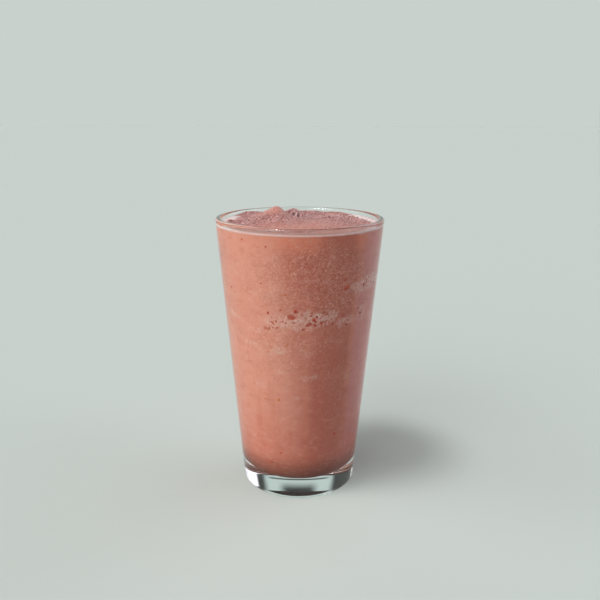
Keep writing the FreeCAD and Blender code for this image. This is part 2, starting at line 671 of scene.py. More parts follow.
        # Zones of painted light and shade: paler on the lit left, a violet painted reflection on the right,
        # painted shade right of the middle.
        painted_light_and_shade = sheet.attribute("painted_light_and_shade")
        painted_light_tint = sheet.mix(sheet.step(across, self.painted_light_hue), self.painted_light_cream, self.painted_reflection_lilac)
        colour = sheet.cover(colour, self.deep, painted_light_and_shade, self.redder)
        colour = sheet.cover(colour, painted_light_tint, painted_light_and_shade, self.painted_light_cover)
        # Painted shade: darker and redder towards the bottom, and a painted shadow under the thick foot.
        colour = sheet.cover(colour, self.deep, height, self.painted_shade_height)
        colour = sheet.cover(colour, self.stain_and_shade, height, self.painted_low_shade_height)
        mottle = sheet.noise(self.mottle)
        colour = sheet.cover(colour, self.pale, mottle, self.mottle_pale)
        colour = sheet.cover(colour, self.deep, mottle, self.mottle_deep)
        return sheet.cover(colour, self.shadow, height, self.painted_foot_shadow_height)

    def ice_threads(self, sheet: Sheet, colour: Socket, speckle: Socket) -> Socket:
        """Pale specks, painted glints of ice and curling threads over redder ground, as strong as the grain
        attribute says.

        Args:
            sheet: the material's sheet.
            colour: the colour so far.
            speckle: the noise that breaks the threads.

        Returns:
            The colour with its ice.
        """
        grain = sheet.attribute("grain")
        fine = sheet.noise(self.fine_ice)
        colour = sheet.cover(colour, self.stain_and_shade, sheet.noise(self.stains), self.stain_cover, grain, grain)
        colour = sheet.cover(colour, self.stain_and_shade, fine, self.ice_pits, grain)
        colour = sheet.cover(colour, self.pale, fine, self.ice_light, grain)
        # Painted glints of ice.
        colour = sheet.cover(colour, self.foam, fine, self.painted_ice_glints, grain)
        ridge = sheet.math("ABSOLUTE", sheet.math("SUBTRACT", sheet.noise(self.curls), 0.5))
        unbroken = sheet.step(speckle, self.thread_breaks)
        return sheet.cover(colour, self.pale, ridge, self.thread, grain, unbroken)

    def foam_patches(self, sheet: Sheet, height: Socket, colour: Socket) -> Socket:
        """Torn patches of small bubbles with pale rims and pinker middles, and the froth's lower edge.

        Args:
            sheet: the material's sheet.
            height: the height above the table, in millimetres.
            colour: the colour so far.

        Returns:
            The colour with its foam and froth.
        """
        tears = sheet.noise(self.tears)
        rims = sheet.times(
            sheet.step(sheet.cells(self.bubble), self.bubble_rims),
            sheet.step(sheet.cells(self.small_bubble), self.small_rims),
            sheet.step(sheet.noise(self.fine_foam), self.fine_cover),
        )
        edge = sheet.torn(sheet.attribute("foam"), tears, self.foam_tearing)
        colour = sheet.cover(colour, self.foam, edge, self.foam_cover, rims)
        level = sheet.torn(height, tears, self.froth_tearing)
        return sheet.cover(colour, self.froth, level, self.froth_height)


@dataclass(frozen=True)
class OpenSlush(Finish):
    """The drink's open top: coarse blended ice, greyer than its sides, wet towards the wall, with painted
    shade in its hollows and its pit.
    """

    name: str = "open_slush"
    flesh: Colour = (0.460, 0.205, 0.190)
    frost: Colour = (0.720, 0.480, 0.470)
    wet: Colour = (0.290, 0.098, 0.086)
    shadow: Colour = (0.130, 0.042, 0.036)
    smooth: Colour = (0.640, 0.270, 0.215)
    clouds: Pattern = Pattern(9.0, 3.0, 0.6)
    cloud_cover: Ramp = Ramp(0.35, 0.68)
    speckle: Pattern = Pattern(0.9, 2.0, 0.7, shift=(5.0, 0.0, 0.0))
    speckle_cover: Ramp = Ramp(0.46, 0.70, end=0.70)
    calm_cover: Ramp = Ramp(0.1, 0.9, end=0.75)
    edge_cover: Ramp = Ramp(0.0, 1.0, end=0.75)
    crest_cover: Ramp = Ramp(0.15, 0.95, end=0.85)
    hollow_cover: Ramp = Ramp(-0.05, -0.85, end=0.90)
    roughness: Ramp = Ramp(0.35, 0.70, 0.22, 0.50)
    relief: Pattern = Pattern(0.55, 3.0, 0.65)
    skin: Skin = Skin(0.5, 0.30, (1.0, 0.45, 0.35), 1.5 * MM, 0.6, 0.25 * MM)

    def lay_out(self, sheet: Sheet) -> None:
        """Frosted crests and painted shade in the hollows and the pit, from the relief, with a fine sparkle.

        Args:
            sheet: the material's sheet.
        """
        colour = sheet.mix(sheet.step(sheet.noise(self.clouds), self.cloud_cover), self.wet, self.flesh)
        speckle = sheet.noise(self.speckle)
        colour = sheet.cover(colour, self.frost, speckle, self.speckle_cover)
        colour = sheet.cover(colour, self.smooth, sheet.attribute("calm"), self.calm_cover)
        colour = sheet.cover(colour, self.wet, sheet.attribute("edge"), self.edge_cover)
        crest_and_shade = sheet.attribute("crest_and_shade")
        colour = sheet.cover(colour, self.frost, crest_and_shade, self.crest_cover)
        # Painted shade in the hollows and the pit.
        colour = sheet.cover(colour, self.shadow, crest_and_shade, self.hollow_cover)
        sheet.finish_soft(colour, sheet.step(speckle, self.roughness), sheet.noise(self.relief), self.skin)


@dataclass(frozen=True)
class FineFroth(Finish):
    """Fine pale froth with a few coarser bubbles in it."""

    name: str = "fine_froth"
    white: Colour = (0.880, 0.760, 0.760)
    pale: Colour = (0.640, 0.490, 0.490)
    pink: Colour = (0.520, 0.290, 0.255)
    drink: Colour = (0.400, 0.165, 0.135)
    clouds: Pattern = Pattern(3.0, 3.0, 0.6)
    cloud_cover: Ramp = Ramp(0.35, 0.65)
    bubble: float = 0.55
    bubble_rims: Ramp = Ramp(0.35, 0.75, end=0.45)
    tearing: float = 0.9
    white_cover: Ramp = Ramp(-0.05, -0.35, end=0.85)
    inner_cover: Ramp = Ramp(0.05, 0.35, end=0.92)
    roughness: float = 0.5
    skin: Skin = Skin(0.35, 0.4, (1.0, 0.6, 0.5), 1.0 * MM, 0.5, 0.12 * MM)

    def lay_out(self, sheet: Sheet) -> None:
        """Rings of packed bubbles over a mottled pink.

        Args:
            sheet: the material's sheet.
        """
        clouds = sheet.noise(self.clouds)
        cells = sheet.cells(self.bubble)
        colour = sheet.mix(sheet.step(clouds, self.cloud_cover), self.pink, self.pale)
        colour = sheet.cover(colour, self.pink, cells, self.bubble_rims)
        inner = sheet.torn(sheet.attribute("inner"), clouds, self.tearing)
        colour = sheet.cover(colour, self.white, inner, self.white_cover)
        colour = sheet.cover(colour, self.drink, inner, self.inner_cover)
        sheet.finish_soft(colour, self.roughness, cells, self.skin)


@dataclass(frozen=True)
class FruitBit(Finish):
    """A small wet bit, of fruit, of a seed's husk or of ice, mottled between two colours."""

    light: Colour
    dark: Colour
    grain: float = 0.5
    mottle: Ramp = Ramp(0.35, 0.65)
    roughness: float = 0.6
    gloss: float = 0.1

    def lay_out(self, sheet: Sheet) -> None:
        """Fine mottling with a little relief.

        Args:
            sheet: the material's sheet.
        """
        spots = sheet.noise(Pattern(self.grain, 2.0, 0.6))
        colour = sheet.mix(sheet.step(spots, self.mottle), self.dark, self.light)
        skin = Skin(self.gloss, 0.15, (1.0, 0.3, 0.2), 0.8 * MM, 0.4, 0.1 * MM)
        sheet.finish_soft(colour, self.roughness, spots, skin)


RED_FLESH = FruitBit("red_flesh", light=(0.780, 0.095, 0.024), dark=(0.560, 0.040, 0.010))
SEED_HUSK = FruitBit("seed_husk", light=(0.860, 0.250, 0.060), dark=(0.660, 0.130, 0.034), grain=0.3)
ICE_CHIP = FruitBit(
    "ice_chip", light=(0.800, 0.640, 0.620), dark=(0.500, 0.270, 0.240), grain=0.7, roughness=0.16, gloss=0.5
)


# --------------------------------------------------------------------------------------------------- pieces


@dataclass
class Piece(ABC):
    """One visible piece that rides on the glass's body."""

    tumbler: Tumbler

    @abstractmethod
    def build(self) -> bpy.types.Object:
        """Model the piece, dress it and seat it in the frame."""

    def seat(
        self, shape: bmesh.types.BMesh, name: str, finish: Finish, slot: Slot, smooth: bool = True
    ) -> bpy.types.Object:
        """Make an object of a shape, dress it and let it ride on the body.

        Args:
            shape: the finished shape, which is used up.
            name: the piece's name.
            finish: its surface.
            slot: not used.
            smooth: whether its faces are shaded as one curved surface.

        Returns:
            The object.
        """
        bmesh.ops.recalc_face_normals(shape, faces=shape.faces)
        for face in shape.faces:
            face.smooth = smooth
        mesh = bpy.data.meshes.new(name)
        shape.to_mesh(mesh)
        shape.free()
        mesh.materials.append(finish.material())
        piece = bpy.data.objects.new(name, mesh)
        bpy.context.scene.collection.objects.link(piece)
        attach(piece, BODY)
        return piece


@dataclass
class GlassPiece(Piece):
    """The tumbler itself, with its rounded lip, thick clear foot and shallow dish underneath."""

    lip_outside: float = 1.2 * MM
    lip_inside: float = 1.4 * MM
    heel: float = 4.0 * MM
    bowl: float = 18.0 * MM
    foot_ring: float = 5.0 * MM
    dish: float = 0.35 * MM
    dish_steps: int = 10
    heel_steps: int = 14
    lip_steps: int = 8
    bowl_steps: int = 20
    turn_steps: int = 256

    def build(self) -> bpy.types.Object:
        """Spin the glass's outline.

        Returns:
            The glass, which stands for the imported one.
        """
        glass = self.tumbler
        ring = glass.outer_foot - self.foot_ring - self.heel / 2
        steps = self.dish_steps
        dish = [(ring * i / steps, self.dish * (1.0 - (i / steps) ** 2)) for i in range(steps + 1)]
        heel, lip = len(dish), len(dish) + 1
        outline = Outline(
            dish
            + [
                (glass.outer_foot, 0.0),
                (glass.outer_rim, glass.height),
                (glass.hollow_rim, glass.height),
                (glass.hollow(glass.floor), glass.floor),
                (0.0, glass.floor),
            ]
        )
        outline.round_corner(heel, self.heel, self.heel_steps)
        outline.round_corner(lip, self.lip_outside, self.lip_steps)
        outline.round_corner(lip + 1, self.lip_inside, self.lip_steps)
        outline.round_corner(lip + 2, self.bowl, self.bowl_steps)
        piece = self.seat(outline.spun(self.turn_steps), "clear_tumbler", ClearGlass(), Slot.GLASS)
        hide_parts(Node.GLASS.value)
        return piece


@dataclass(frozen=True)
class Patch:
    """A soft-edged spot on the drink's side, with its height and size in millimetres."""

    angle: float
    height: float
    wide: float
    tall: float
    strength: float = 1.0
    lean: float = 0.0


@dataclass(frozen=True)
class Wild:
    """How patches are scattered by chance, with the least and the greatest of each size."""

    count: int
    wide: Reach
    tall: Reach
    strength: Reach


@dataclass(frozen=True)
class SidePoints:
    """The points of the drink's side: their angles from the front, heights and radii in millimetres."""

    angle: np.ndarray
    height: np.ndarray
    radius: np.ndarray

    @classmethod
    def of(cls, places: np.ndarray) -> "SidePoints":
        """Read the points from rows x, y, z in metres."""
        angle = np.degrees(np.arctan2(places[:, 0], -places[:, 1]))
        return cls(angle, places[:, 2] / MM, np.hypot(places[:, 0], places[:, 1]) / MM)

    def cover(self, patches: Iterable[Patch]) -> np.ndarray:
        """Add up how strongly patches cover each point.

        Args:
            patches: the patches.

        Returns:
            The cover of each point, where 1 is full.
        """
        total = np.zeros_like(self.angle)
        for patch in patches:
            along = np.radians(angle_between(self.angle, patch.angle)) * self.radius
            rise = self.height - patch.height - patch.lean * along
            far = (along / (patch.wide / 2)) ** 2 + (rise / (patch.tall / 2)) ** 2
            total += patch.strength * (1.0 - soft_step(far, *PATCH_FADE))
        return total


@dataclass
class DrinkSide(Piece):
    """The drink where it meets the glass, from its floor to just under its surface."""

    into_wall: float = 0.30 * MM
    bowl: float = 18.0 * MM
    top: float = 146.1 * MM
    fine_from: float = 94.0 * MM
    fine_to: float = 126.0 * MM
    bowl_steps: int = 22
    side_cuts: tuple[tuple[int, int], ...] = ((1, 58), (2, 66), (3, 24), (0, 3))
    turn_steps: int = 480
    hole_depth: float = 0.16 * MM
    thickest_foam: float = 1.4
    least_grain: float = 0.12
    wall_from: float = 12.0
    foam: tuple[Patch, ...] = (
        Patch(61, 119.0, 20, 8.0, 1.25, 0.10),
        Patch(46, 118.0, 10, 5, 0.6),
        Patch(-18, 102.0, 15, 8, 0.85, 0.10),
        Patch(3, 103.0, 17, 9.5, 1.25),
        Patch(19, 104.0, 13, 8, 1.05, 0.25),
        Patch(38, 101.0, 11, 6, 0.75),
        Patch(55, 103.5, 6, 9, 0.85, 0.30),
        Patch(-36, 96.0, 13, 4.0, 0.45),
        Patch(-60, 101.5, 11, 3.2, 0.65, -0.12),
        Patch(-70, 107.0, 8, 2.6, 0.3),
        Patch(-16, 86.5, 9, 3.6, 0.65),
        Patch(-38, 88.5, 15, 4.5, 0.45),
        Patch(-28, 84.5, 9, 3.0, 0.40),
        Patch(5, 86.0, 8, 5.0, 0.40),
        Patch(-49, 79.0, 6, 2.0, 0.55),
        Patch(-34, 66.5, 8, 4.5, 0.4),
        Patch(-15, 75.0, 4, 2.6, 0.6),
        Patch(9, 72.0, 9, 5.0, 0.6),
        Patch(44, 68.5, 7, 2.0, 0.45, 0.15),
        Patch(38, 61.5, 6, 3.0, 0.5),
        Patch(-2, 60.5, 5, 2.6, 0.5),
        Patch(62, 23.0, 3.0, 1.6, 0.5),
        Patch(-30, 116.0, 15, 5.0, 0.3),
        Patch(10, 123.0, 20, 3.0, 0.3),
    )
    holes: tuple[Patch, ...] = (
        Patch(-6, 105.0, 4.6, 3.4, 0.62),
        Patch(-3, 107.5, 1.7, 1.2, 0.9),
        Patch(11, 103.5, 1.7, 1.9, 1.0),
        Patch(13, 105.0, 1.3, 1.2, 0.9),
        Patch(7, 101.0, 2.9, 1.9, 0.85, 0.5),
        Patch(12, 100.5, 1.9, 1.5, 0.9, -0.5),
        Patch(9, 101.0, 0.9, 0.9, 0.8),
        Patch(17, 101.5, 1.2, 1.5, 0.85),
        Patch(3, 98.5, 1.9, 1.3, 0.7),
        Patch(-17, 99.0, 1.2, 1.2, 0.7),
        Patch(-26, 98.0, 3.4, 2.0, 0.5, -0.3),
        Patch(4, 105.0, 0.8, 0.8, 0.7),
        Patch(5, 104.5, 0.8, 0.8, 0.7),
        Patch(4, 104.0, 0.8, 0.8, 0.7),
        Patch(20, 106.5, 3.6, 2.4, 0.5),
        Patch(35, 105.0, 3.0, 2.0, 0.4),
        Patch(50, 106.5, 1.2, 1.5, 0.7),
        Patch(52, 104.0, 1.0, 1.2, 0.7),
        Patch(54, 101.5, 1.0, 1.6, 0.6),
        Patch(36, 118.5, 3.2, 1.8, 0.85, 0.25),
        Patch(34, 122.5, 1.3, 1.2, 0.75),
        Patch(-14, 108.5, 0.9, 1.0, 0.7),
    )
    granular: tuple[Patch, ...] = (
        Patch(12, 124.0, 52, 34, 1.0),
        Patch(-22, 121.0, 34, 26, 0.45),
        Patch(52, 118.0, 26, 22, 0.6),
        Patch(0, 96.0, 60, 22, 0.40),
        Patch(-22, 86.0, 44, 22, 0.45),
        Patch(12, 72.0, 44, 18, 0.30),
        Patch(-60, 120.0, 30, 30, 0.20),
    )
    # Zones of painted light above zero and painted shade below it: the lit left, a violet reflection on the
    # right, shade right of the middle, weaker ones round the back.
    painted_light_and_shade: tuple[Patch, ...] = (
        Patch(-41, 82.0, 45, 220, 0.95),
        Patch(64, 82.0, 22, 220, 0.9),
        Patch(28, 82.0, 21, 220, -1.0),
        Patch(22, 125.0, 34, 24, -1.0),
        Patch(-150, 70.0, 30, 90, 0.5),
        Patch(165, 100.0, 24, 70, -0.6),
        Patch(112, 60.0, 26, 60, 0.4),
    )
    dish: float = 9.0 * MM
    under_froth: float = 1.8 * MM
    front_half: float = 84.0
    wild_foam: Wild = Wild(46, (4, 16), (2, 7), (0.35, 1.0))
    foam_band: Reach = (108, 9)
    foam_heights: Reach = (55, 125)
    foam_lean: Reach = (-0.2, 0.3)
    wild_holes: Wild = Wild(150, (0.8, 2.0), (0.7, 1.1), (0.5, 0.95))
    wild_granular: Wild = Wild(9, (25, 50), (14, 30), (0.6, 0.6))
    granular_heights: Reach = (100, 130)
    pin_holes: Wild = Wild(110, (0.55, 1.15), (1.0, 1.0), (0.45, 0.9))
    pin_hosts_from: float = 0.7
    pin_spread: Reach = (0.55, 0.5)
    seed: int = 11

    def scatter_foam(self, chance: random.Random) -> list[Patch]:
        """Scatter foam over the part of the side that the listed patches leave out.

        Args:
            chance: the source of chance.

        Returns:
            The patches.
        """
        wild = self.wild_foam
        return [
            Patch(
                angle_behind(chance, self.front_half),
                chance.choice((chance.gauss(*self.foam_band), chance.uniform(*self.foam_heights))),
                chance.uniform(*wild.wide),
                chance.uniform(*wild.tall),
                chance.uniform(*wild.strength),
                chance.uniform(*self.foam_lean),
            )
            for _ in range(wild.count)
        ]

    def scatter_holes(self, chance: random.Random, foam: Sequence[Patch]) -> list[Patch]:
        """Scatter holes in and round the wild foam.

        Args:
            chance: the source of chance.
            foam: the patches that the holes go with.

        Returns:
            The holes, whose height is given by its ratio to their width.
        """
        wild = self.wild_holes
        holes = []
        for _ in range(wild.count):
            host = chance.choice(foam)
            size = chance.uniform(*wild.wide)
            angle = host.angle + chance.gauss(0, host.wide / 3)
            height = host.height + chance.gauss(0, host.tall / 2)
            tall = size * chance.uniform(*wild.tall)
            holes.append(Patch(angle, height, size, tall, chance.uniform(*wild.strength)))
        return holes

    def scatter_granular(self, chance: random.Random) -> list[Patch]:
        """Scatter granular areas round the back.

        Args:
            chance: the source of chance.

        Returns:
            The areas.
        """
        wild = self.wild_granular
        return [
            Patch(
                angle_behind(chance, self.front_half),
                chance.uniform(*self.granular_heights),
                chance.uniform(*wild.wide),
                chance.uniform(*wild.tall),
                wild.strength[0],
            )
            for _ in range(wild.count)
        ]

    def scatter_pin_holes(self, chance: random.Random) -> list[Patch]:
        """Scatter the finest holes through the strongest listed foam.

        Args:
            chance: the source of chance.

        Returns:
            The holes.
        """
        wild = self.pin_holes
        hosts = [patch for patch in self.foam if patch.strength > self.pin_hosts_from]
        across, up = self.pin_spread
        holes = []
        for _ in range(wild.count):
            host = chance.choice(hosts)
            size = chance.uniform(*wild.wide)
            angle = host.angle + chance.uniform(-across, across) * host.wide
            height = host.height + chance.uniform(-up, up) * host.tall
            holes.append(Patch(angle, height, size, size, chance.uniform(*wild.strength)))
        return holes

    def outline(self) -> Outline:
        """Draw the drink's cut: its floor, the wall in three stretches, and its dished cap.

        Returns:
            The outline, which is cut finest where the holes are.
        """

        def wall(height: float) -> float:
            """The drink's radius at a height."""
            return self.tumbler.hollow(height) + self.into_wall

        low = self.tumbler.floor - self.into_wall
        outline = Outline(
            [
                (0.0, low),
                (wall(low), low),
                (wall(self.fine_from), self.fine_from),
                (wall(self.fine_to), self.fine_to),
                (wall(self.top), self.top),
                (wall(self.top) - self.under_froth, self.top - self.under_froth / 2),
                (0.0, self.top - self.dish),
            ]
        )
        outline.round_corner(1, self.bowl + self.into_wall, self.bowl_steps)
        for side, cuts in self.side_cuts:
            outline.cut_side(side, cuts)
        return outline

    def build(self) -> bpy.types.Object:
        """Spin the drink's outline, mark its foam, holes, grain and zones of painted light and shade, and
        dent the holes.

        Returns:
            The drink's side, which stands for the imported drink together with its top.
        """
        piece = self.seat(self.outline().spun(self.turn_steps), "drink_side", PressedSlush(), Slot.DRINK)
        places = vertex_places(piece.data)
        points = SidePoints.of(places)
        at_wall = points.radius > self.wall_from
        chance = random.Random(self.seed)
        wild_foam = self.scatter_foam(chance)
        wild_holes = self.scatter_holes(chance, wild_foam)
        wild_granular = self.scatter_granular(chance)
        foam = points.cover([*self.foam, *wild_foam])
        holes = np.clip(points.cover([*self.holes, *wild_holes, *self.scatter_pin_holes(chance)]), 0, 1)
        grain = points.cover([*self.granular, *wild_granular])
        painted_light_and_shade = points.cover(self.painted_light_and_shade)
        write_attribute(piece.data, "foam", np.clip(foam, 0, self.thickest_foam) * at_wall)
        write_attribute(piece.data, "painted_light_and_shade", np.clip(painted_light_and_shade, -1, 1) * at_wall)
        write_attribute(piece.data, "juice", holes * at_wall)
        write_attribute(piece.data, "grain", np.clip(grain + self.least_grain, 0, 1) * at_wall)
        dent = holes * self.hole_depth * at_wall
        places[:, :2] *= (1.0 - dent / np.maximum(points.radius * MM, MM))[:, None]
        piece.data.vertices.foreach_set("co", places.ravel().astype(np.float32))
        piece.data.update()
        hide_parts(Node.DRINK.value)
        return piece


@dataclass
class DrinkTop(Piece):
    """The drink's open surface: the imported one's form with the relief of blended ice on it.

    Places, reaches and depths without MM are in millimetres. relief pairs each lump size with its depth.
    """

    cells: int = 262
    look_from: float = 20.0 * MM
    edge_gap: float = 0.25 * MM
    skirt: float = 3.0 * MM
    froth_reach: float = 4.8 * MM
    wet_edge: float = 8.0 * MM
    headroom: float = 0.15 * MM
    smooth_rounds: int = 3
    relief: tuple[Reach, ...] = ((8.0, 0.32), (2.4, 0.45), (1.1, 0.66))
    lumps: tuple[float, float, int] = (0.9, 2.1, 3)
    crags: tuple[float, float, int, float, float] = (0.9, 2.2, 3, 1.0, 2.0)
    calming: float = 0.85
    peak: Reach = (-13.0, 7.0)
    peak_calm: Reach = (11.0, 13.0)
    slope_place: Reach = (2.0, -22.0)
    slope_calm: Reach = (32.0, 17.0)
    slope_share: float = 0.75
    pit_place: Reach = (-1.5, 15.0)
    pit_reach: Reach = (5.5, 11.0)
    pit_depth: float = 2.3
    pit_grain: float = 3.0
    pit_top: float = 2.2
    pit_level: float = 1.25
    pit_shade: float = 0.7
    edge_reach: float = 3.0 * MM
    edge_relief: float = 0.35
    wet_from: float = 1.5 * MM
    crest_rounds: int = 14
    crest_height: float = 0.32 * MM
    furrow_start: Reach = (-30.0, -7.0)
    furrow_end: Reach = (-21.0, -2.0)
    furrow_width: float = 1.3
    furrow_depth: float = 0.9
    noise_seed: Vector = field(default_factory=lambda: Vector((17.3, 4.1, 2.7)))

    def grid(self) -> tuple[bmesh.types.BMesh, np.ndarray]:
        """Start from a flat square grid drawn out into a disc.

        Returns:
            The shape, and for each vertex its column and row in the grid.
        """
        shape = bmesh.new()
        bmesh.ops.create_grid(shape, x_segments=self.cells, y_segments=self.cells, size=1.0)
        square = np.array([vertex.co[:2] for vertex in shape.verts])
        index = np.rint((square + 1.0) / 2.0 * self.cells).astype(int)
        return shape, index

    def base_heights(self, x: np.ndarray, y: np.ndarray, reach: float) -> np.ndarray:
        """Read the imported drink's surface.

        Args:
            x: each point's place across.
            y: each point's place in depth.
            reach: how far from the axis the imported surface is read.

        Returns:
            The surface's height under each point.
        """
        tree = node_tree_of(Node.DRINK)
        far = np.hypot(x, y)
        pull = np.minimum(1.0, reach / np.maximum(far, MERGE))
        start = self.tumbler.height + self.look_from
        return np.array([look_down(tree, px, py, start)[0].z for px, py in zip(x * pull, y * pull)])

    def spot_share(self, x: np.ndarray, y: np.ndarray, middle: Reach, reach: Reach) -> np.ndarray:
        """How strongly a soft-edged spot covers each point, in millimetres."""
        return np.exp(-(((x - middle[0]) / reach[0]) ** 2) - ((y - middle[1]) / reach[1]) ** 2)

    def calm_share(self, x: np.ndarray, y: np.ndarray) -> np.ndarray:
        """Work out how smooth the surface is: most on the peak and on the slope in front of it.

        Args:
            x: each point's place across, in millimetres.
            y: each point's place in depth, in millimetres.

        Returns:
            The share of each point, from 0 to 1.
        """
        peak = self.spot_share(x, y, self.peak, self.peak_calm)
        slope = self.spot_share(x, y, self.slope_place, self.slope_calm)
        return np.maximum(peak, self.slope_share * slope)

    def relief_at(self, x: np.ndarray, y: np.ndarray) -> np.ndarray:
        """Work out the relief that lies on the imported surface.

        Args:
            x: each point's place across, in millimetres.
            y: each point's place in depth, in millimetres.

        Returns:
            The relief in millimetres.
        """
        calm = self.calm_share(x, y)
        pit = self.spot_share(x, y, self.pit_place, self.pit_reach)
        rise = np.zeros_like(x)
        ragged = np.zeros_like(x)
        for i, (px, py) in enumerate(zip(x, y)):
            spot = Vector((px, py, 0.0)) + self.noise_seed
            for reach, depth in self.relief:
                rise[i] += depth * noise.fractal(spot / reach, *self.lumps)
            ragged[i] = noise.ridged_multi_fractal(spot / self.pit_grain, *self.crags)
        rise *= 1.0 - self.calming * calm
        rise += pit * self.pit_depth * (np.clip(ragged, 0.0, self.pit_top) - self.pit_level)
        start, end = np.array(self.furrow_start), np.array(self.furrow_end)
        run = end - start
        share = np.clip(((x - start[0]) * run[0] + (y - start[1]) * run[1]) / run.dot(run), 0.0, 1.0)
        off = np.hypot(x - start[0] - share * run[0], y - start[1] - share * run[1])
        rise -= self.furrow_depth * np.exp(-((off / self.furrow_width) ** 2))
        return rise

    def build(self) -> bpy.types.Object:
        """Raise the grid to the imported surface, add the relief, and close it with a skirt and a floor.

        Returns:
            The drink's top.
        """
        glass = self.tumbler
        level = DrinkSide(glass).top - self.skirt
        edge = glass.hollow(level) - self.edge_gap
        shape, index = self.grid()
        square = np.array([vertex.co[:2] for vertex in shape.verts])
        x = square[:, 0] * np.sqrt(1.0 - square[:, 1] ** 2 / 2.0) * edge
        y = square[:, 1] * np.sqrt(1.0 - square[:, 0] ** 2 / 2.0) * edge
        base = self.base_heights(x, y, glass.hollow(level) - self.froth_reach)
        smooth = grid_blur(base, index, self.cells + 1, self.smooth_rounds)
        from_edge = edge - np.hypot(x, y)
        relief = self.relief_at(x / MM, y / MM) * MM
        relief *= self.edge_relief + (1.0 - self.edge_relief) * soft_step(from_edge, 0.0, self.edge_reach)
        crest_and_shade = relief - grid_blur(relief, index, self.cells + 1, self.crest_rounds)
        top = np.minimum(smooth + relief, base.max() - self.headroom + np.minimum(relief, 0.0))
        for vertex, px, py, pz in zip(shape.verts, x, y, top):
            vertex.co = (px, py, pz)
        close_below(shape, level)
        piece = self.seat(shape, "drink_top", OpenSlush(), Slot.DRINK)
        in_pit = self.spot_share(x / MM, y / MM, self.pit_place, self.pit_reach)
        # Below zero this lays painted shade in the hollows, deepest in the pit.
        crest_and_shade = np.clip(crest_and_shade / self.crest_height - self.pit_shade * in_pit, -1.0, 1.0)
        wet = 1.0 - soft_step(from_edge, self.wet_from, self.wet_edge)
        below = len(piece.data.vertices) - len(top)
        write_attribute(piece.data, "crest_and_shade", np.append(crest_and_shade, np.zeros(below)))
        write_attribute(piece.data, "calm", np.append(self.calm_share(x / MM, y / MM), np.zeros(below)))
        write_attribute(piece.data, "edge", np.append(wet, np.ones(below)))
        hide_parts(Node.DRINK.value)
        return piece


def grid_blur(values: np.ndarray, index: np.ndarray, side: int, rounds: int) -> np.ndarray:
    """Smooth values that belong to a square grid's vertices.

    Args:
        values: one value a vertex.
        index: each vertex's column and row.
        side: how many vertices a side of the grid has.
        rounds: how many times each value is averaged with its neighbours.

    Returns:
        The smoothed values, in the same order.
    """
    table = np.empty((side, side))
    table[index[:, 0], index[:, 1]] = values
    for _ in range(rounds):
        padded = np.pad(table, 1, mode="edge")
        across = padded[:-2, 1:-1] + padded[2:, 1:-1]
        along = padded[1:-1, :-2] + padded[1:-1, 2:]
        table = (table * 2.0 + across / 2.0 + along / 2.0) / 4.0
    return table[index[:, 0], index[:, 1]]


def close_below(shape: bmesh.types.BMesh, height: float) -> None:
    """Close an open surface with a wall straight down and a flat floor.

    Args:
        shape: the surface.
        height: the floor's height.
    """
    border = [edge for edge in shape.edges if edge.is_boundary]
    made = bmesh.ops.extrude_edge_only(shape, edges=border)["geom"]
    for vertex in (part for part in made if isinstance(part, bmesh.types.BMVert)):
        vertex.co.z = height
    floor = [part for part in made if isinstance(part, bmesh.types.BMEdge) and part.is_boundary]
    bmesh.ops.contextual_create(shape, geom=floor)


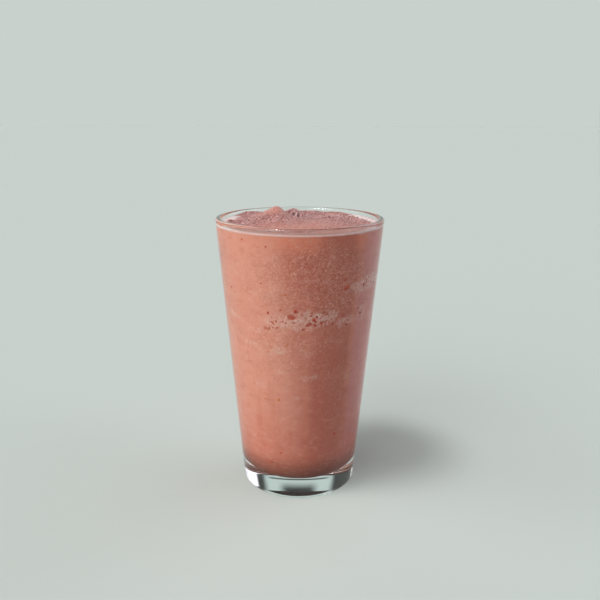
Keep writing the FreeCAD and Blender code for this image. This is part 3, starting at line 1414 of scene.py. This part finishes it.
@dataclass
class FrothRing(Piece):
    """The line of froth where the surface meets the glass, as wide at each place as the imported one.

    wide_at pairs the angle of each stretch of wide white froth with its reach in degrees.
    """

    into_wall: float = 0.25 * MM
    turn_steps: int = 760
    section_steps: int = 20
    section_centre: float = 10.0
    section_merge: float = 1e-5
    lump: float = 0.30 * MM
    lump_size: float = 2.2 * MM
    lump_at_wall: float = 0.4
    bubble_lump: float = 0.16 * MM
    bubble_size: float = 0.8 * MM
    bubble_at_wall: float = 0.3
    smooth_until: float = 0.12
    searched: tuple[float, float, float] = (7.0, 0.4, -0.15)
    least_width: float = 0.5 * MM
    wide_at: tuple[Reach, ...] = ((112.0, 46.0), (-108.0, 40.0))
    widening: float = 0.35
    rising: float = 0.30
    pink_above: float = 0.5
    whitening: float = 2.0

    def wide_share(self, angle: float) -> float:
        """How far the froth is at its widest and whitest, at an angle from the front."""
        wide = sum(math.exp(-((angle_between(angle, middle) / reach) ** 2)) for middle, reach in self.wide_at)
        return min(wide, 1.0)

    def width_at(self, tree: BVHTree, turn: float) -> float:
        """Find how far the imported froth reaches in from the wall.

        Args:
            tree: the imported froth's search tree.
            turn: the angle in radians from the right, which runs on towards the back.

        Returns:
            The froth's width there.
        """
        wall = self.tumbler.hollow(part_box(Node.FROTH.value)[1].z)
        for inward in np.arange(*self.searched) * MM:
            x, y = (wall - inward) * math.cos(turn), (wall - inward) * math.sin(turn)
            if look_down(tree, x, y, self.tumbler.height)[0] is not None:
                return inward
        return self.least_width

    def widths(self) -> np.ndarray:
        """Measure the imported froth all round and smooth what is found.

        Returns:
            The width at each whole degree from 0 to 360, from the right.
        """
        tree = node_tree_of(Node.FROTH)
        found = np.array([self.width_at(tree, 2 * math.pi * degree / 360) for degree in range(360)])
        found = (np.roll(found, 1) + np.roll(found, -1) + 2 * found) / 4
        return np.append(found, found[0])

    def section(self) -> bmesh.types.BMesh:
        """Spin a round section one unit in radius, far enough from the axis not to meet itself.

        Returns:
            The ring, before it is fitted.
        """
        shape = bmesh.new()
        bmesh.ops.create_circle(shape, segments=self.section_steps, radius=1.0, cap_ends=False)
        upright = Matrix.Translation((self.section_centre, 0, 0)) @ Matrix.Rotation(math.pi / 2, 4, "X")
        bmesh.ops.transform(shape, verts=shape.verts, matrix=upright)
        spin_round(shape, self.turn_steps, self.section_merge)
        return shape

    def lumps_at(self, spot: Vector, free: float) -> float:
        """How far the froth's lumps and bubbles push a point out, less so near the wall."""
        lump = self.lump * noise.noise(spot / self.lump_size) * (self.lump_at_wall + free)
        return lump + self.bubble_lump * noise.noise(spot / self.bubble_size) * (self.bubble_at_wall + free)

    def build(self) -> bpy.types.Object:
        """Spin a round section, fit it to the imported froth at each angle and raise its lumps.

        Returns:
            The froth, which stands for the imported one.
        """
        low, high = (corner.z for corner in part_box(Node.FROTH.value))
        widths = self.widths()
        shape = self.section()
        inner = []
        for vertex in shape.verts:
            turn = math.atan2(vertex.co.y, vertex.co.x)
            across, up = math.hypot(vertex.co.x, vertex.co.y) - self.section_centre, vertex.co.z
            free = (1.0 - across) / 2
            wide = self.wide_share(math.degrees(turn) + 90.0)
            width = float(np.interp(math.degrees(turn) % 360, np.arange(361), widths))
            width *= 1.0 + self.widening * wide
            height = (low + high) / 2 + up * (1.0 + self.rising * wide) * (high - low) / 2
            radius = self.tumbler.hollow(height) + self.into_wall - free * (width + self.into_wall)
            spot = Vector((radius * math.cos(turn), radius * math.sin(turn), height))
            if free > self.smooth_until:
                outward = Vector((math.cos(turn) * across, math.sin(turn) * across, up)).normalized()
                spot += outward * self.lumps_at(spot, free)
            vertex.co = spot
            inner.append(free + self.pink_above * max(up, 0.0) - self.whitening * wide)
        piece = self.seat(shape, "froth_line", FineFroth(), Slot.FROTH)
        write_attribute(piece.data, "inner", np.array(inner))
        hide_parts(Node.FROTH.value)
        return piece


@dataclass(frozen=True)
class Bit:
    """One bit of fruit against the glass, with its size in millimetres."""

    angle: float
    height: float
    long: float
    wide: float
    tilt: float = 0.0


def pebbles(kinds: int, ragged: float, fine: int, seed: int) -> list[Lump]:
    """Make a few uneven lumps, about one unit long, to scatter copies of.

    Args:
        kinds: how many different lumps to make.
        ragged: how uneven they are, as a share of their size.
        fine: how finely they are cut.
        seed: which set of lumps to make.

    Returns:
        Each lump's vertices and triangles.
    """
    lumps = []
    for kind in range(kinds):
        shape = bmesh.new()
        bmesh.ops.create_icosphere(shape, subdivisions=fine, radius=0.5)
        shift = Vector((PEBBLE_STEP[0] * kind, PEBBLE_STEP[1] * seed, 0.0))
        for vertex in shape.verts:
            vertex.co *= 1.0 + ragged * noise.noise(vertex.co * PEBBLE_WAVES + shift)
        lumps.append(as_arrays(shape))
    return lumps


def bubbles() -> list[Lump]:
    """Make one round bubble, one unit across, to scatter copies of.

    Returns:
        The bubble's vertices and triangles, as the only one of a list.
    """
    shape = bmesh.new()
    bmesh.ops.create_uvsphere(shape, u_segments=BUBBLE_CUTS[0], v_segments=BUBBLE_CUTS[1], radius=0.5)
    bmesh.ops.triangulate(shape, faces=shape.faces)
    return [as_arrays(shape)]


def as_arrays(shape: bmesh.types.BMesh) -> Lump:
    """Turn a small shape of triangles into arrays and free it.

    Args:
        shape: the shape, which is used up.

    Returns:
        Its vertices and triangles.
    """
    shape.verts.index_update()
    places = np.array([vertex.co for vertex in shape.verts])
    faces = np.array([[vertex.index for vertex in face.verts] for face in shape.faces])
    shape.free()
    return places, faces


@dataclass(frozen=True)
class Spot:
    """Where one copy of a small lump goes."""

    place: Vector
    out: Vector
    size: Vector
    tilt: float = 0.0

    def matrix(self) -> np.ndarray:
        """Work out how the copy is stretched, turned and placed.

        Returns:
            The matrix, four by four.
        """
        turn = self.out.to_track_quat("Z", "Y").to_matrix().to_4x4()
        turn = turn @ Matrix.Rotation(math.radians(self.tilt), 4, "Z") @ Matrix.Diagonal((*self.size, 1.0))
        return np.array(Matrix.Translation(self.place) @ turn)


def scattered(lumps: Sequence[Lump], spots: Sequence[Spot]) -> bmesh.types.BMesh:
    """Join one copy of a lump for each spot into one shape.

    Args:
        lumps: the lumps' vertices and triangles, which take turns.
        spots: where the copies go.

    Returns:
        The joined shape.
    """
    places, faces, count = [], [], 0
    for number, spot in enumerate(spots):
        lump, triangles = lumps[number % len(lumps)]
        matrix = spot.matrix()
        places.append(lump @ matrix[:3, :3].T + matrix[:3, 3])
        faces.append(triangles + count)
        count += len(lump)
    mesh = bpy.data.meshes.new("scattered")
    mesh.from_pydata(np.concatenate(places), [], np.concatenate(faces))
    shape = bmesh.new()
    shape.from_mesh(mesh)
    bpy.data.meshes.remove(mesh)
    return shape


FRONT_FLESH = (
    Bit(36, 118.5, 2.3, 1.3, 20), Bit(-60, 116.0, 1.1, 0.9), Bit(-24, 106.5, 1.5, 1.0, -25),
    Bit(-3, 108.5, 1.3, 0.8, -20), Bit(11, 103.5, 1.2, 1.1), Bit(-14, 108.5, 0.7, 0.5, 40),
    Bit(-42, 142.5, 1.1, 0.6, -50), Bit(-23, 140.0, 0.8, 0.8), Bit(34, 123.5, 0.9, 0.6, 60),
    Bit(36, 37.5, 1.4, 1.2), Bit(-18, 27.5, 1.5, 0.5, 45), Bit(-29, 21.0, 1.2, 0.9, 10),
    Bit(13, 105.0, 0.9, 0.8), Bit(-54, 109.5, 0.7, 0.5), Bit(17, 100.5, 0.8, 0.7),
)
FRONT_SEEDS = (
    Bit(-10, 116.5, 1.3, 0.9, -15), Bit(-28, 121.5, 1.2, 0.8, 30), Bit(-31, 58.5, 1.5, 0.5, 15),
    Bit(-18, 59.0, 1.6, 1.1, 35), Bit(-22, 88.5, 0.9, 0.6, 10), Bit(-26, 85.5, 1.0, 0.6, -35),
    Bit(-10, 90.0, 1.0, 0.7, 10), Bit(-56, 114.0, 1.0, 0.6, 40), Bit(-54, 107.5, 0.7, 0.5),
)


@dataclass
class WallBits(Piece):
    """Bits of fruit pressed against the glass, some listed one by one and the rest scattered round the back.
    """

    name: str = "wall_bits"
    finish: Finish = RED_FLESH
    by_hand: tuple[Bit, ...] = FRONT_FLESH
    scattered: int = 30
    heights: Reach = (25, 141)
    size_range: Reach = (0.5, 1.6)
    smallness: float = 1.5
    slender: float = 0.7
    kinds: int = 9
    ragged: float = 0.8
    fineness: int = 2
    thickness: float = 0.6 * MM
    swell: float = 1.2
    proud: float = 0.22 * MM
    front_half: float = 80.0
    seed: int = 3

    def scatter(self) -> list[Bit]:
        """Scatter bits round the back, with more small ones than large ones.

        Returns:
            The bits.
        """
        chance = random.Random(self.seed)
        least, most = self.size_range
        bits = []
        for _ in range(self.scattered):
            long = max(chance.uniform(least, most) ** self.smallness / most ** (self.smallness - 1.0), least)
            angle = angle_behind(chance, self.front_half)
            height = chance.uniform(*self.heights)
            bits.append(Bit(angle, height, long, long * self.slender, chance.uniform(0, 180)))
        return bits

    def build(self) -> bpy.types.Object:
        """Place each bit on the drink's side so that it just shows through.

        Returns:
            The joined bits.
        """
        spots = []
        for bit in [*self.by_hand, *self.scatter()]:
            height = bit.height * MM
            radius = self.tumbler.hollow(height) + DrinkSide.into_wall + self.proud - self.thickness / 2
            size = Vector((bit.long * self.swell * MM, bit.wide * self.swell * MM, self.thickness))
            spots.append(Spot(around(bit.angle, radius, height), around(bit.angle, 1.0, 0.0), size, bit.tilt))
        shape = scattered(pebbles(self.kinds, self.ragged, self.fineness, self.seed), spots)
        return self.seat(shape, self.name, self.finish, Slot.DRINK)


@dataclass
class IceChips(Piece):
    """Small chips of ice that stand in the drink's open surface, with their sizes in millimetres."""

    surface: bpy.types.Object | None = None
    count: int = 6400
    size_range: Reach = (0.2, 0.65)
    width_share: Reach = (0.5, 0.9)
    height_share: Reach = (0.35, 0.7)
    kinds: int = 12
    ragged: float = 0.7
    pit_share: float = 0.14
    furrow_share: float = 0.03
    furrow_spread: Reach = (1.2, 2.0)
    rim_gap: float = 2.0 * MM
    calm_loss: float = 0.95
    lean: float = 0.5
    sunk: float = 0.1
    look_from: float = 1.2
    seed: int = 7

    def draw_place(self, chance: random.Random, top: DrinkTop, reach: float) -> Reach:
        """Choose where a chip may go.

        Args:
            chance: the source of chance.
            top: the open surface, with its pit and its furrow.
            reach: how far from the axis a chip may lie.

        Returns:
            The place across and in depth.
        """
        draw = chance.random()
        if draw < self.pit_share:
            middle, spread = top.pit_place, top.pit_reach
        elif draw < self.pit_share + self.furrow_share:
            along = chance.random()
            middle = [start + along * (end - start) for start, end in zip(top.furrow_start, top.furrow_end)]
            spread = self.furrow_spread
        else:
            turn, far = chance.uniform(0, 2 * math.pi), reach * math.sqrt(chance.random())
            return far * math.cos(turn), far * math.sin(turn)
        x = (middle[0] + chance.gauss(0, spread[0])) * MM
        return x, (middle[1] + chance.gauss(0, spread[1])) * MM

    def build(self) -> bpy.types.Object:
        """Scatter the chips over the surface, thicker in the pit and thinner where it is smooth.

        Returns:
            The joined chips.
        """
        chance = random.Random(self.seed)
        tree = search_tree(self.surface)
        top = DrinkTop(self.tumbler)
        reach = self.tumbler.hollow(DrinkSide.top) - self.rim_gap
        spots = []
        for _ in range(self.count):
            x, y = self.draw_place(chance, top, reach)
            calm = float(top.calm_share(x / MM, y / MM))
            if math.hypot(x, y) > reach or chance.random() < self.calm_loss * calm:
                continue
            place, out = look_down(tree, x, y, self.tumbler.height * self.look_from)
            long = chance.uniform(*self.size_range) * MM
            wide, tall = long * chance.uniform(*self.width_share), long * chance.uniform(*self.height_share)
            lean = Vector((chance.gauss(0, self.lean), chance.gauss(0, self.lean), 1.0)).normalized()
            size, turn = Vector((long, wide, tall)), chance.uniform(0, 180)
            spots.append(Spot(place - out * long * self.sunk, lean, size, turn))
        shape = scattered(pebbles(self.kinds, self.ragged, 1, self.seed), spots)
        return self.seat(shape, "ice_chips", ICE_CHIP, Slot.DRINK, smooth=False)


@dataclass
class FrothBubbles(Piece):
    """Single bubbles that stand out of the froth, with their sizes in millimetres."""

    froth: bpy.types.Object | None = None
    count: int = 900
    size_range: Reach = (0.2, 0.6)
    size_cut: Reach = (0.5, 1.0)
    wall_gap: float = 0.5 * MM
    inward: float = 2.2
    front_from: float = -0.4
    front_loss: float = 0.85
    proud: float = 0.05
    look_from: float = 1.2
    seed: int = 5

    def build(self) -> bpy.types.Object:
        """Scatter bubbles over the froth's upper side, few of them at the front.

        Returns:
            The joined bubbles.
        """
        chance = random.Random(self.seed)
        tree = search_tree(self.froth)
        wall = self.tumbler.hollow(self.tumbler.height) - self.wall_gap
        start = self.tumbler.height * self.look_from
        spots = []
        for _ in range(self.count):
            turn = chance.uniform(0, 2 * math.pi)
            if math.sin(turn) < self.front_from and chance.random() < self.front_loss:
                continue
            far = wall - abs(chance.gauss(0, self.inward)) * MM
            place, out = look_down(tree, far * math.cos(turn), far * math.sin(turn), start)
            if place is None:
                continue
            across = chance.uniform(*self.size_range) * chance.uniform(*self.size_cut) * MM
            spots.append(Spot(place + out * across * self.proud, out, Vector((across, across, across))))
        return self.seat(scattered(bubbles(), spots), "froth_bubbles", FineFroth(), Slot.FROTH)


# --------------------------------------------------------------------------------------------------- studio


WARM_WHITE = (1.0, 0.99, 0.97)
LILAC_WHITE = (0.96, 0.91, 1.0)
PALE_GREEN = (0.84, 1.0, 0.96)
PLAIN_WHITE = (1.0, 1.0, 1.0)


@dataclass(frozen=True)
class SoftBox:
    """A soft light painted on the surroundings, with its edges in degrees round and above the glass."""

    angle: float
    half_width: float
    low: float
    high: float
    radiance: float
    colour: Colour
    side_fade: float = 6.0
    end_fade: float = 6.0


@dataclass
class Studio:
    """A plain pale floor and backdrop, one soft sun, soft boxes and the camera."""

    floor_size: float = 40.0
    floor_drop: float = 0.12 * MM
    floor_colour: Colour = (0.56, 0.62, 0.59)
    floor_bounce: Colour = (0.07, 0.078, 0.074)
    backdrop: Colour = (0.578, 0.638, 0.604)
    backdrop_to: float = 12.0
    backdrop_fade: float = 4.0
    ambient: Colour = (0.13, 0.13, 0.13)
    dark: Colour = (0.03, 0.04, 0.038)
    sun_from: Vector = field(default_factory=lambda: Vector((-53.0, -33.0, 149.0)))
    sun_strength: float = 1.05
    sun_spread: float = 14.0
    sun_colour: Colour = (1.0, 0.985, 0.96)
    boxes: tuple[SoftBox, ...] = (
        SoftBox(-62.0, 44.0, 4.0, 48.0, 2.0, WARM_WHITE, side_fade=8.0),
        SoftBox(-38.0, 22.0, 4.0, 50.0, 3.2, WARM_WHITE, side_fade=10.0),
        SoftBox(-74.0, 13.0, 60.0, 70.0, 5.0, WARM_WHITE, side_fade=3.0, end_fade=3.0),
        SoftBox(102.0, 37.0, 2.0, 50.0, 1.65, LILAC_WHITE, side_fade=3.0),
        SoftBox(180.0, 27.0, 2.0, 29.6, 0.62, PALE_GREEN, side_fade=4.0, end_fade=2.8),
        SoftBox(159.0, 8.0, 2.0, 40.0, 0.62, PALE_GREEN, side_fade=5.0, end_fade=3.0),
        SoftBox(-159.0, 8.0, 2.0, 40.0, 0.62, PALE_GREEN, side_fade=5.0, end_fade=3.0),
        SoftBox(180.0, 24.0, 25.9, 26.7, 0.06, PLAIN_WHITE, side_fade=4.0, end_fade=0.3),
    )
    lens: float = 41.4
    sensor: float = 36.0
    camera_place: Vector = field(default_factory=lambda: Vector((0.0003, -0.363, 0.199)))
    camera_down: float = 14.7
    camera_roll: float = 0.27
    near_clip: float = 10.0 * MM

    def build(self) -> None:
        """Set up the floor, the surroundings, the sun and the camera."""
        self.build_floor()
        self.build_surroundings()
        self.build_sun()
        self.build_camera()

    def build_floor(self) -> None:
        """A wide plain floor that is pale to the eye and gives off little bounced light."""
        shape = bmesh.new()
        bmesh.ops.create_grid(shape, x_segments=1, y_segments=1, size=self.floor_size / 2)
        bmesh.ops.translate(shape, verts=shape.verts, vec=(0, 0, -self.floor_drop))
        mesh = bpy.data.meshes.new("studio_floor")
        shape.to_mesh(mesh)
        shape.free()
        floor = bpy.data.objects.new("studio_floor", mesh)
        bpy.context.scene.collection.objects.link(floor)
        material = bpy.data.materials.new("plain_floor")
        material.use_nodes = True
        sheet = Sheet(material.node_tree)
        path = sheet.add("LightPath")
        seen = sheet.most(*(path.outputs[f"Is {kind} Ray"] for kind in ("Camera", "Glossy", "Transmission")))
        colour = sheet.mix(seen, self.floor_bounce, self.floor_colour)
        sheet.finish(sheet.add("BsdfDiffuse", {"Color": colour}).outputs[0])
        mesh.materials.append(material)

    def box_share(self, sheet: Sheet, turn: Socket, rise: Socket, box: SoftBox) -> Socket:
        """How much of a soft box shows in a direction.

        Args:
            sheet: the world's sheet.
            turn: the direction's angle from the front.
            rise: the direction's angle above the level.
            box: the soft box.

        Returns:
            The share, from 0 to 1.
        """
        off = sheet.math("WRAP", sheet.math("SUBTRACT", turn, box.angle), 180.0, -180.0)
        off = sheet.math("ABSOLUTE", off)
        return sheet.times(
            sheet.step(off, Ramp(box.half_width - box.side_fade, box.half_width + box.side_fade, 1.0, 0.0)),
            sheet.step(rise, Ramp(box.low - box.end_fade, box.low + box.end_fade)),
            sheet.step(rise, Ramp(box.high - box.end_fade, box.high + box.end_fade, 1.0, 0.0)),
        )

    def build_surroundings(self) -> None:
        """Paint the backdrop, the soft boxes and the dim rest on the world."""
        world = bpy.data.worlds.new("studio_surroundings")
        bpy.context.scene.world = world
        world.use_nodes = True
        sheet = Sheet(world.node_tree)
        direction = sheet.add("TexCoord").outputs["Generated"]
        x, y, z = sheet.add("SeparateXYZ", {"Vector": direction}).outputs
        turn = sheet.times(sheet.math("ARCTAN2", x, sheet.times(y, -1.0)), math.degrees(1.0))
        rise = sheet.times(sheet.math("ARCSINE", z), math.degrees(1.0))
        path = sheet.add("LightPath")
        looked_through = sheet.most(path.outputs["Is Glossy Ray"], path.outputs["Is Transmission Ray"])
        light = sheet.mix(looked_through, self.ambient, self.dark)
        for box in self.boxes:
            glow = tuple(channel * box.radiance for channel in box.colour)
            light = sheet.mix(self.box_share(sheet, turn, rise, box), light, glow)
        low, high = self.backdrop_to - self.backdrop_fade, self.backdrop_to + self.backdrop_fade
        near_level = sheet.step(rise, Ramp(low, high, 1.0, 0.0))
        seen = sheet.most(path.outputs["Is Camera Ray"], sheet.times(looked_through, near_level))
        colour = sheet.mix(seen, light, self.backdrop)
        background = sheet.add("Background", {"Color": colour, "Strength": 1.0}).outputs[0]
        sheet.fill(sheet.add("OutputWorld").inputs["Surface"], background)

    def build_sun(self) -> None:
        """The main light, soft-edged and from high on the left."""
        lamp = bpy.data.lights.new("main_light", "SUN")
        lamp.energy = self.sun_strength
        lamp.angle = math.radians(self.sun_spread)
        lamp.color = self.sun_colour
        sun = bpy.data.objects.new("main_light", lamp)
        bpy.context.scene.collection.objects.link(sun)
        sun.rotation_euler = self.sun_from.to_track_quat("Z", "Y").to_euler()

    def build_camera(self) -> None:
        """A camera a little above the rim that looks down at the front of the glass."""
        lens = bpy.data.cameras.new("studio_camera")
        lens.lens = self.lens
        lens.sensor_width = self.sensor
        lens.clip_start = self.near_clip
        camera = bpy.data.objects.new("studio_camera", lens)
        bpy.context.scene.collection.objects.link(camera)
        aim = Euler((math.radians(90.0 - self.camera_down), 0.0, 0.0)).to_matrix().to_4x4()
        roll = Matrix.Rotation(math.radians(self.camera_roll), 4, "Z")
        camera.matrix_world = Matrix.Translation(self.camera_place) @ aim @ roll
        bpy.context.scene.camera = camera


def report(piece: bpy.types.Object) -> None:
    """Log a piece's name and how many triangles it has."""
    piece.data.calc_loop_triangles()
    LOG.info("%s: %d triangles", piece.name, len(piece.data.loop_triangles))


def main() -> None:
    """Build the drink in its glass, then the studio round it."""
    logging.basicConfig(level=logging.INFO, format="%(name)s: %(message)s")
    tumbler = Tumbler.measured()
    report(GlassPiece(tumbler).build())
    report(DrinkSide(tumbler).build())
    top = DrinkTop(tumbler).build()
    report(top)
    froth = FrothRing(tumbler).build()
    report(froth)
    report(FrothBubbles(tumbler, froth=froth).build())
    report(IceChips(tumbler, surface=top).build())
    report(WallBits(tumbler).build())
    seeds = WallBits(tumbler, "seeds", SEED_HUSK, FRONT_SEEDS, scattered=22, slender=0.6, ragged=0.3, seed=4)
    report(seeds.build())
    Studio().build()
    bpy.context.scene.view_settings.view_transform = "Standard"


if __name__ == "__main__":
    main()
